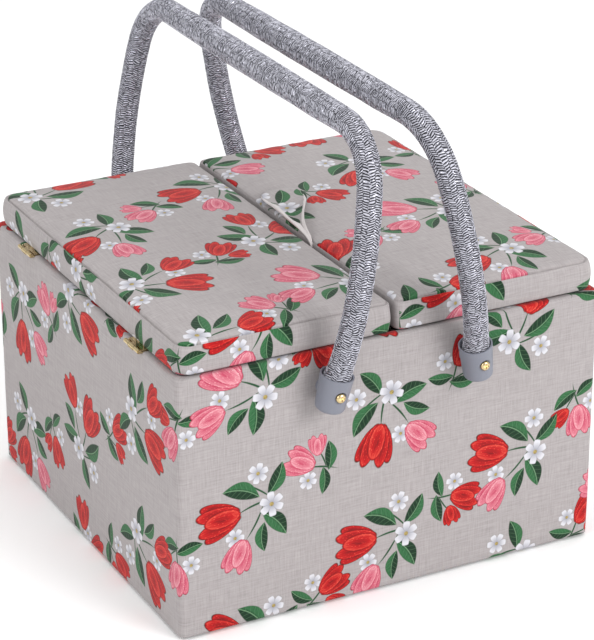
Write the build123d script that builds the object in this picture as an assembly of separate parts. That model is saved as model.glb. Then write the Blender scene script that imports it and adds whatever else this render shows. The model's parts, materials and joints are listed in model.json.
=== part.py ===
from build123d import *
import os
from math import cos, radians, sin

# Sewing carrier with two lids: a fabric-covered box with two padded lids, hinged at the left
# and right sides, and two bail handles that turn on screws in the front and back walls.
# Millimetres, +Z up. The origin is the centre of the base. X runs to the right along the
# front, Y runs to the back.

# ---- Case ----
CASE_WIDTH = 300.0
CASE_DEPTH = 290.0
CASE_HEIGHT = 178.0
CASE_CORNER_R = 4.5
COVER_T = 1.0            # printed cloth with its thin backing
LINING_T = 0.8
BOARD_T = 6.0
BOARD_FOOT_Z = 2.0       # under it: the cover's turned hem and the base cloth
HEM_WIDTH = 15.0
LINING_DROP = 0.6        # from the rim to the lining's top edge
BASE_PAD_T = 3.0

# ---- Lids ----
LID_REST_GAP = 0.4       # lid over rim
LID_GAP = 3.6            # between the two lids
LID_OUTER_X = 147.0
LID_HALF_Y = 142.5
LID_EDGE_Z = 197.0       # seam between the side band and the padded top
LID_CROWN = 4.0
LID_OUTER_CORNER_R = 9.0
LID_INNER_CORNER_R = 4.5
LID_PANEL_T = 4.0
BATTEN_WIDTH = 10.0
LID_LINING_T = 1.5
LID_LINING_INSET = 11.5

# ---- Lid hinges: small brass stop hinges, two on each lid ----
HINGE_Y = 86.0
HINGE_LENGTH = 20.0
KNUCKLE_R = 1.5
PIN_R = 0.7
LEAF_T = COVER_T
LEAF_CLEARANCE = 0.3
LID_KNUCKLE_LENGTH = 7.0
CASE_LEAF_WIDTH = 6.8
LID_LEAF_WIDTH = 10.5
LID_OPENS_TO = 100.0     # degrees, where the heel on the lid knuckle meets the case
HEEL_REACH = 1.85
HEEL_T = 0.7
HINGE_SCREW_R = 0.8
HINGE_SCREW_HEAD_R = 1.7
HINGE_SCREW_LENGTH = 8.0
HINGE_SCREW_PITCH = 12.0

# ---- Handles ----
PIVOT_X = 51.0
PIVOT_Z = 155.0
LEG_Y = 157.5            # centre of the end cap at the pivot
LEFT_LEAN = 9.0          # degrees from upright towards the middle, as they stand at rest
RIGHT_LEAN = 12.0
LEG_SPLAY = 14.0         # degrees, where the rope leaves the cap
LEG_STRAIGHT = 25.0
LEG_BOW_R = 220.0
LEG_BOW_TURN = 28.0
SHOULDER_R = 41.0
SHOULDER_TURN = 90.0 + LEG_SPLAY - LEG_BOW_TURN
ROPE_R = 7.3
GRIP_R = 8.5             # the rope cover swells to this at the middle of the grip
ROD_R = 3.0
ROPE_START = 10.0        # along the leg from the pivot
CORE_BORE_R = ROD_R + 0.05

# ---- Handle end caps and their screws ----
CAP_TILT = 8.0
CAP_FOOT = 11.5          # below the pivot
CAP_MOUTH = 12.5         # above it
CAP_FOOT_R = 9.4
CAP_MOUTH_R = 10.8
CAP_WALL = 1.0
CAP_FLOOR = 8.0          # height of the cup's floor over the pivot
EYE_R = 5.0
EYE_T = 3.2
SCREW_R = 2.0
RUNNING_CLEARANCE = 0.05
FACE_CLEARANCE = 0.3
SCREW_HEAD_R = 3.2
SCREW_HEAD_H = 2.2
CAP_INNER_FACE_Y = 148.4
CAP_OUTER_FACE_Y = 166.7
WASHER_R = 5.5
BACKING_R = 8.0
BACKING_T = 1.0
NUT_R = 4.0
NUT_H = 5.0
NUT_CLOSED_END = 1.5

# ---- Lift-out tray, on two ledges ----
LEDGE_TOP_Z = 101.0      # the resting tray's rim stays below the handle nuts
LEDGE_SIZE = 8.0
LEDGE_LENGTH = 260.0
TRAY_HALF_X = 137.5
TRAY_HALF_Y = 127.5      # the rim passes between the handle nuts as the tray lifts out
TRAY_HEIGHT = 46.0
TRAY_WALL = 2.0
TRAY_CORNER_R = 7.0
TRAY_FLARE = 1.5         # degrees
TRAY_LIP = 1.8
DIVIDER_T = 1.8
DIVIDER_HEIGHT = 36.0
THUMB_R = 14.0           # notch in the front and back walls, to lift the tray by
FRONT_SPLIT_X = 46.0     # two cross dividers in the front half
BACK_SPLIT_X = 40.0      # one in the back half, clear of the thumb notch

# ---- Under the lids, and the pull tab ----
PINCUSHION = (96.0, 62.0, 12.0)
PINCUSHION_X = 76.0
POCKET = (96.0, 190.0, 1.8)
POCKET_X = -74.0
TAB_T = 1.4

BOARD_X = CASE_WIDTH / 2 - COVER_T
BOARD_Y = CASE_DEPTH / 2 - COVER_T
BOARD_TOP_Z = CASE_HEIGHT - COVER_T
INNER_X = BOARD_X - BOARD_T
INNER_Y = BOARD_Y - BOARD_T
NUT_SEAT_Y = INNER_Y - LINING_T - BACKING_T
FLOOR_Z = BOARD_FOOT_Z + BOARD_T
LID_BOTTOM_Z = CASE_HEIGHT + LID_REST_GAP
LID_INNER_X = LID_GAP / 2
HINGE_X = CASE_WIDTH / 2 + LEAF_CLEARANCE + KNUCKLE_R
HINGE_Z = CASE_HEIGHT + LID_REST_GAP / 2

os.makedirs("parts", exist_ok=True)


def save(node, shape):
    """Write one node to its STEP file."""
    export_step(shape, f"parts/{node}.step")


def span(x, y, z):
    """A box given by its low and high limit on each axis."""
    size = [abs(high - low) for low, high in (x, y, z)]
    middle = [(low + high) / 2 for low, high in (x, y, z)]
    return Pos(*middle) * Box(*size)


def slab(half_x, half_y, radius, low, high):
    """An upright block with rounded corners in plan."""
    plan = Pos(0, 0, low) * RectangleRounded(2 * half_x, 2 * half_y, radius)
    return extrude(plan, high - low)


def y_rod(x, z, radius, near, far):
    """A round bar along Y, between two distances from the middle."""
    return Pos(x, (near + far) / 2, z) * Rot(90, 0, 0) * Cylinder(radius, abs(far - near))


def front_and_back(shape):
    """The shape and its mirror image across the X-Z plane."""
    return [shape, mirror(shape, about=Plane.XZ)]


def group(shapes):
    """Several separate solids as one node."""
    return Compound(children=list(shapes))


# ---- Screws, nuts and washers of the handles ----
def handle_screw(x):
    """Domed brass screw through the back cap and wall, its head outside."""
    head_y = CAP_OUTER_FACE_Y + FACE_CLEARANCE
    shank_end = NUT_SEAT_Y - NUT_H + NUT_CLOSED_END
    shank = y_rod(x, PIVOT_Z, SCREW_R, shank_end, head_y)
    head = y_rod(x, PIVOT_Z, SCREW_HEAD_R, head_y, head_y + SCREW_HEAD_H)
    rim = head.edges().filter_by(GeomType.CIRCLE).sort_by(Axis.Y)[-1]
    head = fillet(rim, SCREW_HEAD_H * 0.8)
    slot_y = head_y + SCREW_HEAD_H
    for length, height in ((3.4, 0.7), (0.7, 3.4)):
        head -= Pos(x, slot_y, PIVOT_Z) * Box(length, 1.4, height)
    return head + shank


def washer(x, radius, near, far):
    """Flat ring on a handle screw."""
    return y_rod(x, PIVOT_Z, radius, near, far) - y_rod(x, PIVOT_Z, SCREW_R, near, far)


def cap_nut(x):
    """Hexagon nut with a closed dome, against the backing washer inside the case."""
    end_y = NUT_SEAT_Y - NUT_H
    plan = Plane.XZ.offset(-NUT_SEAT_Y) * Pos(x, PIVOT_Z) * RegularPolygon(NUT_R, 6)
    hexagon = extrude(plan, NUT_H * 0.6)
    dome = y_rod(x, PIVOT_Z, NUT_R * 0.8, NUT_SEAT_Y - NUT_H * 0.6, end_y)
    end = dome.edges().filter_by(GeomType.CIRCLE).sort_by(Axis.Y)[0]
    dome = chamfer(end, NUT_H * 0.3)
    return hexagon + dome - y_rod(x, PIVOT_Z, SCREW_R, end_y + NUT_CLOSED_END, NUT_SEAT_Y)


screws = [s for x in (-PIVOT_X, PIVOT_X) for s in front_and_back(handle_screw(x))]
washers = [w for x in (-PIVOT_X, PIVOT_X)
           for w in front_and_back(washer(x, WASHER_R, CASE_DEPTH / 2,
                                          CAP_INNER_FACE_Y - FACE_CLEARANCE))]
backings = [w for x in (-PIVOT_X, PIVOT_X)
            for w in front_and_back(washer(x, BACKING_R, NUT_SEAT_Y, NUT_SEAT_Y + BACKING_T))]
nuts = [n for x in (-PIVOT_X, PIVOT_X) for n in front_and_back(cap_nut(x))]
save("handle_screws", group(screws))
save("handle_spacers", group(washers))
save("handle_backing_washers", group(backings))
save("handle_nuts", group(nuts))


# ---- Hinges, drawn at the right side ----
def leaf(width, low, high, own, other, y):
    """Flat leaf with the knuckles named in own joined to it, and room left for the others."""
    outer = CASE_WIDTH / 2
    plate = span((outer - width, outer), (y - HINGE_LENGTH / 2, y + HINGE_LENGTH / 2), (low, high))
    for start, end in own:
        plate += y_rod(HINGE_X, HINGE_Z, KNUCKLE_R, y + start, y + end)
        plate += span((outer - 1, HINGE_X), (y + start, y + end), (low, high))
    for start, end in other:
        plate -= y_rod(HINGE_X, HINGE_Z, KNUCKLE_R + LEAF_CLEARANCE, y + start, y + end)
    return plate


def hinge_screw(x, y, face, point):
    """Countersunk screw, its flat head flush with the leaf's face; point is +1 for up."""
    cone = Cone(HINGE_SCREW_HEAD_R, HINGE_SCREW_R, LEAF_T, align=(Align.CENTER, Align.CENTER, Align.MIN))
    shank = Cylinder(HINGE_SCREW_R, HINGE_SCREW_LENGTH, align=(Align.CENTER, Align.CENTER, Align.MIN))
    screw = cone + shank
    return Pos(x, y, face) * (screw if point > 0 else Rot(180, 0, 0) * screw)


half = HINGE_LENGTH / 2
mid = LID_KNUCKLE_LENGTH / 2
end_knuckles = [(-half, -mid - LEAF_CLEARANCE), (mid + LEAF_CLEARANCE, half)]
middle_knuckle = [(-mid, mid)]
pitch = HINGE_SCREW_PITCH / 2
hinge_places = (-HINGE_Y, HINGE_Y)

case_hinge_screws = [hinge_screw(INNER_X + BOARD_T / 2, y + step, CASE_HEIGHT, -1)
                     for y in hinge_places for step in (-pitch, pitch)]
lid_hinge_screws = [hinge_screw(LID_OUTER_X - 5.0, y + step, LID_BOTTOM_Z, 1)
                    for y in hinge_places for step in (-pitch, pitch)]

case_leaves, lid_leaves, hinge_pins = [], [], []
for y in hinge_places:
    ends = (y - half, y + half)
    case_leaf = leaf(CASE_LEAF_WIDTH, CASE_HEIGHT - LEAF_T, CASE_HEIGHT,
                     end_knuckles, middle_knuckle, y)
    case_leaf -= y_rod(HINGE_X, HINGE_Z, PIN_R, *ends)
    lid_leaf = leaf(LID_LEAF_WIDTH, LID_BOTTOM_Z, LID_BOTTOM_Z + LEAF_T,
                    middle_knuckle, end_knuckles, y)
    # The heel points down at the case when the lid has turned through its whole range.
    heel = Pos(HEEL_REACH / 2, 0, 0) * Box(HEEL_REACH, LID_KNUCKLE_LENGTH, HEEL_T)
    lid_leaf += Pos(HINGE_X, y, HINGE_Z) * Rot(0, 225 - 90 - LID_OPENS_TO, 0) * heel
    lid_leaf -= y_rod(HINGE_X, HINGE_Z, PIN_R + RUNNING_CLEARANCE, *ends)
    pin = y_rod(HINGE_X, HINGE_Z, PIN_R, *ends)
    pin += y_rod(HINGE_X, HINGE_Z, PIN_R * 1.5, ends[0] - 0.6, ends[0])
    pin += y_rod(HINGE_X, HINGE_Z, PIN_R * 1.5, ends[1], ends[1] + 0.6)
    case_leaves.append(case_leaf - case_hinge_screws)
    lid_leaves.append(lid_leaf - lid_hinge_screws)
    hinge_pins.append(pin)


def to_side(side, shapes):
    """Shapes drawn at the right, moved to the named side by mirroring."""
    return [mirror(s, about=Plane.YZ) if side == "left" else s for s in shapes]


for side in ("left", "right"):
    save(f"{side}_hinge_case_leaves", group(to_side(side, case_leaves)))
    save(f"{side}_hinge_lid_leaves", group(to_side(side, lid_leaves)))
    save(f"{side}_hinge_pins", group(to_side(side, hinge_pins)))
    save(f"{side}_hinge_case_screws", group(to_side(side, case_hinge_screws)))
    save(f"{side}_hinge_lid_screws", group(to_side(side, lid_hinge_screws)))

# ---- Case: five boards, the printed cover, the base cloth and the lining ----
side_board = span((INNER_X, BOARD_X), (-INNER_Y, INNER_Y), (BOARD_FOOT_Z, BOARD_TOP_Z))
side_board -= case_hinge_screws
for side, board in zip(("left", "right"), (to_side("left", [side_board])[0], side_board)):
    save(f"{side}_board", board)

back_board = span((-BOARD_X, BOARD_X), (INNER_Y, BOARD_Y), (BOARD_FOOT_Z, BOARD_TOP_Z))
outer_uprights = back_board.edges().filter_by(Axis.Z).group_by(Axis.Y)[-1]
back_board = fillet(outer_uprights, CASE_CORNER_R - COVER_T) - screws
save("back_board", back_board)
save("front_board", mirror(back_board, about=Plane.XZ))

save("base_board", span((-INNER_X, INNER_X), (-INNER_Y, INNER_Y), (BOARD_FOOT_Z, FLOOR_Z)))

cover = slab(CASE_WIDTH / 2, CASE_DEPTH / 2, CASE_CORNER_R, COVER_T, CASE_HEIGHT)
cover -= slab(BOARD_X, BOARD_Y, CASE_CORNER_R - COVER_T, BOARD_FOOT_Z, BOARD_TOP_Z)
cover -= span((-INNER_X, INNER_X), (-INNER_Y, INNER_Y), (BOARD_TOP_Z, CASE_HEIGHT))
hem_x, hem_y = CASE_WIDTH / 2 - HEM_WIDTH, CASE_DEPTH / 2 - HEM_WIDTH
cover -= span((-hem_x, hem_x), (-hem_y, hem_y), (COVER_T, BOARD_FOOT_Z))
leaf_windows = [span((side * (CASE_WIDTH / 2 - CASE_LEAF_WIDTH), side * CASE_WIDTH / 2),
                     (y - half, y + half), (BOARD_TOP_Z, CASE_HEIGHT))
                for side in (-1, 1) for y in hinge_places]
cover -= leaf_windows + screws
save("case_cover", cover)

base_cloth = slab(CASE_WIDTH / 2 - 3, CASE_DEPTH / 2 - 3, CASE_CORNER_R - 1, 0, COVER_T)
base_cloth += span((-hem_x, hem_x), (-hem_y, hem_y), (COVER_T, BOARD_FOOT_Z))
save("base_cloth", base_cloth)

lining_top = CASE_HEIGHT - LINING_DROP
lining = span((-INNER_X, INNER_X), (-INNER_Y, INNER_Y), (FLOOR_Z, lining_top))
lining_x, lining_y = INNER_X - LINING_T, INNER_Y - LINING_T
lining -= span((-lining_x, lining_x), (-lining_y, lining_y), (FLOOR_Z, lining_top))
lining -= screws
save("case_lining", lining)
base_pad = span((-lining_x, lining_x), (-lining_y, lining_y), (FLOOR_Z, FLOOR_Z + BASE_PAD_T))
base_pad = fillet(base_pad.edges().group_by(Axis.Z)[-1], BASE_PAD_T - 0.5)
save("base_lining_pad", base_pad)

# ---- Tray, its dividers and the two ledges that carry it ----
ledge = span((lining_x - LEDGE_SIZE, lining_x), (-LEDGE_LENGTH / 2, LEDGE_LENGTH / 2),
             (LEDGE_TOP_Z - LEDGE_SIZE, LEDGE_TOP_Z))
ledge = fillet(ledge.edges().filter_by(Axis.Y).group_by(Axis.X)[0], 1.5)
save("right_tray_ledge", ledge)
save("left_tray_ledge", mirror(ledge, about=Plane.YZ))


def tray_tub(inset, foot, top):
    """Open-topped tub's outer or inner form: a rounded plan that flares on its way up."""
    plan = RectangleRounded(2 * (TRAY_HALF_X - inset), 2 * (TRAY_HALF_Y - inset),
                            TRAY_CORNER_R - inset)
    return extrude(Pos(0, 0, foot) * plan, top - foot, taper=-TRAY_FLARE)


tray_top = LEDGE_TOP_Z + TRAY_HEIGHT
flared = TRAY_HEIGHT * sin(radians(TRAY_FLARE))
tray = tray_tub(0, LEDGE_TOP_Z, tray_top)
tray += slab(TRAY_HALF_X + flared + TRAY_LIP, TRAY_HALF_Y + flared + TRAY_LIP,
             TRAY_CORNER_R + TRAY_LIP, tray_top - TRAY_WALL, tray_top)
tray -= tray_tub(TRAY_WALL, LEDGE_TOP_Z + TRAY_WALL, tray_top)
tray -= y_rod(0, tray_top, THUMB_R, -CASE_DEPTH / 2, CASE_DEPTH / 2)
save("tray", tray)

tray_floor = LEDGE_TOP_Z + TRAY_WALL
divider_z = (tray_floor, tray_floor + DIVIDER_HEIGHT)
inside_x, inside_y = TRAY_HALF_X - TRAY_WALL, TRAY_HALF_Y - TRAY_WALL
dividers = [span((-inside_x, inside_x), (-DIVIDER_T / 2, DIVIDER_T / 2), divider_z)]
for x, near, far in ((-FRONT_SPLIT_X, -inside_y, -DIVIDER_T / 2),
                     (FRONT_SPLIT_X, -inside_y, -DIVIDER_T / 2),
                     (BACK_SPLIT_X, DIVIDER_T / 2, inside_y)):
    dividers.append(span((x - DIVIDER_T / 2, x + DIVIDER_T / 2), (near, far), divider_z))
save("tray_dividers", group(dividers))


# ---- Lids, drawn at the right side ----
def lid_plan(inset):
    """Lid in plan, drawn in by inset; the outer corners are rounder than those at the gap."""
    width = LID_OUTER_X - LID_INNER_X - 2 * inset
    plan = Pos((LID_OUTER_X + LID_INNER_X) / 2, 0) * Rectangle(width, 2 * (LID_HALF_Y - inset))
    inner_r = max(LID_INNER_CORNER_R - inset, 0.5)
    outer_r = max(LID_OUTER_CORNER_R - inset, 0.5)
    plan = fillet(plan.vertices().group_by(Axis.X)[0], inner_r)
    return fillet(plan.vertices().group_by(Axis.X)[-1], outer_r)


def lid_slab(inset, low, high):
    return extrude(Pos(0, 0, low) * lid_plan(inset), high - low)


def crown(inset, base):
    """Padded top: rises steeply at the rim and flattens out towards the middle."""
    steps = ((0, 0), (1.5, 0.3), (5, 0.6), (12, 0.85), (24, 1.0))
    return loft([Pos(0, 0, base + rise * LID_CROWN) * lid_plan(inset + draw_in)
                 for draw_in, rise in steps], ruled=True)


panel_z = LID_EDGE_Z - COVER_T - LID_PANEL_T
batten_z = LID_BOTTOM_Z + COVER_T
lid_window = [span((CASE_WIDTH / 2 - LID_LEAF_WIDTH, LID_OUTER_X), (y - half, y + half),
                   (LID_BOTTOM_Z, batten_z)) for y in hinge_places]

lid_panel = lid_slab(COVER_T, panel_z, panel_z + LID_PANEL_T)
lid_frame = lid_slab(COVER_T, batten_z, panel_z)
lid_frame -= lid_slab(COVER_T + BATTEN_WIDTH, batten_z, panel_z)
lid_frame -= lid_hinge_screws
wadding = crown(COVER_T, LID_EDGE_Z - COVER_T)
lid_cover = lid_slab(0, LID_BOTTOM_Z, LID_EDGE_Z) + crown(0, LID_EDGE_Z)
lid_cover -= lid_slab(COVER_T, batten_z, LID_EDGE_Z - COVER_T) + wadding
lid_cover -= lid_slab(HEM_WIDTH, LID_BOTTOM_Z, batten_z)
lid_cover -= lid_window
lid_lining = lid_slab(LID_LINING_INSET, LID_BOTTOM_Z - LID_LINING_T, LID_BOTTOM_Z)

for side in ("left", "right"):
    for name, shape in (("panel", lid_panel), ("frame", lid_frame), ("wadding", wadding),
                        ("cover", lid_cover), ("lining", lid_lining)):
        save(f"{side}_lid_{name}", to_side(side, [shape])[0])

# ---- Pincushion under the right lid, pocket under the left lid ----
length, width, height = PINCUSHION
under_lid = LID_BOTTOM_Z - LID_LINING_T
cushion_steps = ((0.90, 0), (0.98, 0.2), (1.0, 0.42), (0.96, 0.65), (0.86, 0.85), (0.64, 1.0))
pincushion = loft([Pos(PINCUSHION_X, 0, under_lid - height * drop)
                   * RectangleRounded(width * share, length * share, 14)
                   for share, drop in cushion_steps], ruled=True)
save("right_lid_pincushion", pincushion)

length, depth, thickness = POCKET
pocket = Pos(POCKET_X, 0, under_lid - thickness / 2) * Box(length, depth, thickness)
pocket = fillet(pocket.edges().filter_by(Axis.Z), 8)
save("left_lid_pocket", pocket)


# ---- Pull tab of the right lid: a cupped strap, its root sewn in at the gap ----
def tab_section(y, left, right, sag):
    """Thin curved band across the tab: two equal arcs, one tab thickness apart."""
    (x0, z0), (x1, z1) = left, right
    middle = ((x0 + x1) / 2, (z0 + z1) / 2 - sag)
    lower = ThreePointArc((x0, z0), middle, (x1, z1))
    upper = ThreePointArc((x1, z1 + TAB_T), (middle[0], middle[1] + TAB_T), (x0, z0 + TAB_T))
    ends = [Line((x1, z1), (x1, z1 + TAB_T)), Line((x0, z0 + TAB_T), (x0, z0))]
    return Plane.XZ.offset(-y) * make_face([lower, ends[0], upper, ends[1]])


tab_steps = ((-24, (0.7, 198.6), (6.5, 199.6), 0.4), (-6, (0.9, 202.6), (12.5, 203.6), 2.6),
             (18, (1.6, 204.6), (24.0, 205.6), 4.0), (44, (4.0, 202.6), (36.0, 203.0), 1.4))
tab = loft([tab_section(*step) for step in tab_steps])
tab += span((0.7, LID_INNER_X), (-27, -19), (186, 199.8))
save("pull_tab", tab)


# ---- Handles, drawn upright with the pivot axis through the origin along Y ----
def leg_lines(start):
    """Centre line of the back leg in the Y-Z plane: a straight run out of the cap from the
    given distance, the leg's slow bow, and the shoulder that turns into the grip."""
    out = Vector(sin(radians(LEG_SPLAY)), cos(radians(LEG_SPLAY)))
    foot = Vector(LEG_Y, 0)
    run = Line(foot + out * start, foot + out * LEG_STRAIGHT)
    bow = JernArc(run @ 1, run % 1, LEG_BOW_R, LEG_BOW_TURN)
    shoulder = JernArc(bow @ 1, bow % 1, SHOULDER_R, SHOULDER_TURN)
    return [Plane.YZ * line.edge() for line in (run, bow, shoulder)]


def along_leg(section, start):
    """Carry a section along the back leg, and its mirror image along the front leg: pushed
    up the straight run, then turned about the centres of the bow and of the shoulder."""
    run, bow, shoulder = leg_lines(start)
    leg = extrude(Plane(origin=run @ 0, z_dir=run % 0) * section, run.length)
    for arc, turn in ((bow, LEG_BOW_TURN), (shoulder, SHOULDER_TURN)):
        face = Plane(origin=arc @ 0, z_dir=arc % 0) * section
        leg += revolve(face, Axis(arc.arc_center, (1, 0, 0)), turn)
    return front_and_back(leg)


shoulder_end = leg_lines(0)[-1] @ 1
GRIP_HALF, GRIP_Z = shoulder_end.Y, shoulder_end.Z
grip_axis = Axis((0, 0, GRIP_Z), (0, 1, 0))


def grip_sleeve():
    """Barrel of the grip: a bowed profile turned about the grip's axis, bored for the rod."""
    swell = ThreePointArc((-GRIP_HALF, GRIP_Z + ROPE_R), (0, GRIP_Z + GRIP_R),
                          (GRIP_HALF, GRIP_Z + ROPE_R))
    bore = [(GRIP_HALF, GRIP_Z + ROPE_R), (GRIP_HALF, GRIP_Z + CORE_BORE_R),
            (-GRIP_HALF, GRIP_Z + CORE_BORE_R), (-GRIP_HALF, GRIP_Z + ROPE_R)]
    profile = Plane.YZ * make_face([swell, Polyline(bore)])
    return revolve(profile, grip_axis)


sleeve = grip_sleeve() + along_leg(Circle(ROPE_R) - Circle(CORE_BORE_R), ROPE_START)

rod = y_rod(0, GRIP_Z, ROD_R, -GRIP_HALF, GRIP_HALF) + along_leg(Circle(ROD_R), 4.0)
for side in (-1, 1):
    rod += y_rod(0, 0, EYE_R, side * LEG_Y - EYE_T / 2, side * LEG_Y + EYE_T / 2)
    rod += Pos(0, side * LEG_Y, 3.5) * Box(2 * EYE_R - 2, EYE_T, 7)
    rod -= y_rod(0, 0, SCREW_R + RUNNING_CLEARANCE, side * LEG_Y - EYE_R, side * LEG_Y + EYE_R)


def end_cap():
    """Back cap: a flared cup on a solid foot, slotted for the rod's eye and faced off where
    the spacer and the screw head bear."""
    profile = make_face(Polyline((0, -CAP_FOOT), (CAP_FOOT_R, -CAP_FOOT), (CAP_MOUTH_R, CAP_MOUTH),
                                 (CAP_MOUTH_R - CAP_WALL, CAP_MOUTH), (8.5, CAP_FLOOR),
                                 (0, CAP_FLOOR), (0, -CAP_FOOT)))
    foot_corner = profile.vertices().sort_by_distance((CAP_FOOT_R, -CAP_FOOT))[0]
    profile = fillet(foot_corner, 2.5)
    cup = revolve(Plane.XZ * profile, Axis.Z)
    cup = Pos(0, LEG_Y, 0) * Rot(-CAP_TILT, 0, 0) * cup
    slot_r = EYE_R + 0.2
    cup -= y_rod(0, 0, slot_r, LEG_Y - EYE_T / 2 - 0.2, LEG_Y + EYE_T / 2 + 0.2)
    cup -= Pos(0, LEG_Y, 5) * Box(2 * slot_r, EYE_T + 0.4, 10)
    rod_room = Cylinder(ROD_R + 0.2, 14, align=(Align.CENTER, Align.CENTER, Align.MIN))
    cup -= Pos(0, LEG_Y, 0) * Rot(-LEG_SPLAY, 0, 0) * Pos(0, 0, 1) * rod_room
    cup -= y_rod(0, 0, SCREW_R + RUNNING_CLEARANCE, LEG_Y - 15, LEG_Y + 15)
    cup -= y_rod(0, 0, WASHER_R + 0.8, CAP_INNER_FACE_Y - 5, CAP_INNER_FACE_Y)
    return cup - y_rod(0, 0, SCREW_HEAD_R + 0.8, CAP_OUTER_FACE_Y, CAP_OUTER_FACE_Y + 5)


back_cap = end_cap()
front_cap = mirror(back_cap, about=Plane.XZ)
for side, lean, x in (("left", LEFT_LEAN, -PIVOT_X), ("right", -RIGHT_LEAN, PIVOT_X)):
    place = Pos(x, 0, PIVOT_Z) * Rot(0, lean, 0)
    save(f"{side}_handle_rod", place * rod)
    save(f"{side}_handle_rope_cover", place * sleeve)
    save(f"{side}_handle_front_cap", place * front_cap)
    save(f"{side}_handle_back_cap", place * back_cap)

print(f"Grip centre line {GRIP_Z:.1f} above the pivots, half length {GRIP_HALF:.1f}")
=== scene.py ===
# %% [markdown]
# # Sewing carrier with two lids
# The real box is stiff board, covered in printed linen cloth, with two padded lids that meet in
# the middle and two handles of bent steel rod in a knitted cover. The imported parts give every
# size, so they are loaded first and never moved. Soft pieces are then made again as cloth, and
# the hard ones keep their mesh and get a better material.

# %% Load the parts
import json
from math import pi, radians

import bmesh
import bpy
import numpy as np
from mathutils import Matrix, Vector


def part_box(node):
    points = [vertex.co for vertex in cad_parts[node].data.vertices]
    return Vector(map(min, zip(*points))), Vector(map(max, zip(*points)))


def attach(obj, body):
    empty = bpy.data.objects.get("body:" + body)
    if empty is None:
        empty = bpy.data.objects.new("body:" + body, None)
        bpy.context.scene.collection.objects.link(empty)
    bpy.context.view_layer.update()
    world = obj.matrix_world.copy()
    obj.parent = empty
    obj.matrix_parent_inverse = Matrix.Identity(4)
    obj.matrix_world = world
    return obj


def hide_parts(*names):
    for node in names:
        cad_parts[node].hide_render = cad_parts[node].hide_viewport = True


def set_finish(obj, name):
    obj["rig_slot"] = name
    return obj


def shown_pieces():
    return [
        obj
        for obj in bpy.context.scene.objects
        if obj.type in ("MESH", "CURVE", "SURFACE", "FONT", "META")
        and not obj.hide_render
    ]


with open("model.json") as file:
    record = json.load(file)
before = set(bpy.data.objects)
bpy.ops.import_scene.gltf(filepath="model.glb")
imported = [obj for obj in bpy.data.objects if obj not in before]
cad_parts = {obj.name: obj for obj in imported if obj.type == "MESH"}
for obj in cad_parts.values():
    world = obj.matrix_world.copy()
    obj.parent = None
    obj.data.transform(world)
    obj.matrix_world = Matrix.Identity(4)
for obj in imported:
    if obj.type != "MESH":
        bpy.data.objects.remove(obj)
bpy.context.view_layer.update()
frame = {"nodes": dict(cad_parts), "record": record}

MM = 0.001

# %% [markdown]
# ## A surface from a grid
# Cloth, rope covers and pads are all surfaces with two directions, so one function turns a grid
# of points into a mesh. It could be drawn by hand with an edit-mode grid and many proportional
# moves, but a formula keeps every size true. The pattern coordinates are in millimetres, so the
# print and the weave keep their real scale on every piece.

# %% Grid to mesh
def box_mm(node):
    """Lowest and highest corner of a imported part, in mm."""
    return [np.array(corner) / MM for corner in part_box(node)]


UNPRINTED = 20000.0          # added to the pattern coordinates where no print shows


def cloth_mesh(name, points, pattern, closed=(False, True), top_pattern=None, seam_row=0,
               plain=None):
    """Quads between neighbours of a (rows, columns, 3) grid of points in mm. pattern holds the
    flat cloth coordinates of the corners, one row or column longer where the grid is closed.
    From seam_row on, the faces take top_pattern, so a sewn seam also parts the print. plain is a
    grid with a 1 where the cloth shows no print and a 2 where it shows its back, which is painted
    paler, partly as a painted highlight."""
    rows, columns = points.shape[:2]
    row, column = np.meshgrid(np.arange(rows if closed[0] else rows - 1),
                              np.arange(columns if closed[1] else columns - 1), indexing="ij")
    row, column = row.ravel(), column.ravel()
    corner_row = np.stack([row, row, row + 1, row + 1], 1)
    corner_column = np.stack([column, column + 1, column + 1, column], 1)
    faces = (corner_row % rows) * columns + corner_column % columns
    mesh = bpy.data.meshes.new(name)
    mesh.from_pydata((points.reshape(-1, 3) * MM).tolist(), [], faces.tolist())
    flat = pattern[corner_row, corner_column]
    if top_pattern is not None:
        flat = np.where((row >= seam_row)[:, None, None], top_pattern[corner_row, corner_column],
                        flat)
    if plain is not None:
        flat = flat + plain[row, column, None, None] * (UNPRINTED, 0)
    layer = mesh.uv_layers.new(name="cloth")
    layer.data.foreach_set("uv", flat.astype(np.float32).ravel())
    cleaned = bmesh.new()
    cleaned.from_mesh(mesh)
    bmesh.ops.remove_doubles(cleaned, verts=cleaned.verts, dist=2e-6)
    cleaned.to_mesh(mesh)
    cleaned.free()
    mesh.shade_smooth()
    piece = bpy.data.objects.new(name, mesh)
    bpy.context.scene.collection.objects.link(piece)
    print(f"{name}: {len(mesh.polygons)} faces")
    return piece


def unevenness(points, size, seed, count=9):
    """Sum of sine waves in random directions, with wavelengths about size mm, roughly -1 to 1:
    the slow rise and fall of cloth over a hand-made base."""
    rng = np.random.default_rng(seed)
    direction = rng.normal(size=(count, 3))
    direction /= np.linalg.norm(direction, axis=1)[:, None]
    wave = direction / (size * rng.uniform(0.7, 1.6, (count, 1)))
    phase = rng.uniform(0, 1, count)
    return np.sin(2 * pi * (points @ wave.T + phase)).sum(-1) / np.sqrt(count) / 1.5


# %% [markdown]
# ## Outlines and profiles
# Case, lids, linings and pads are all rounded rectangles in plan with some profile up their
# side. So a plan outline is carried along a profile of insets and heights. Where the inset
# reaches half the width, the outline has shrunk to a line, which closes the piece in the middle.

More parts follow.
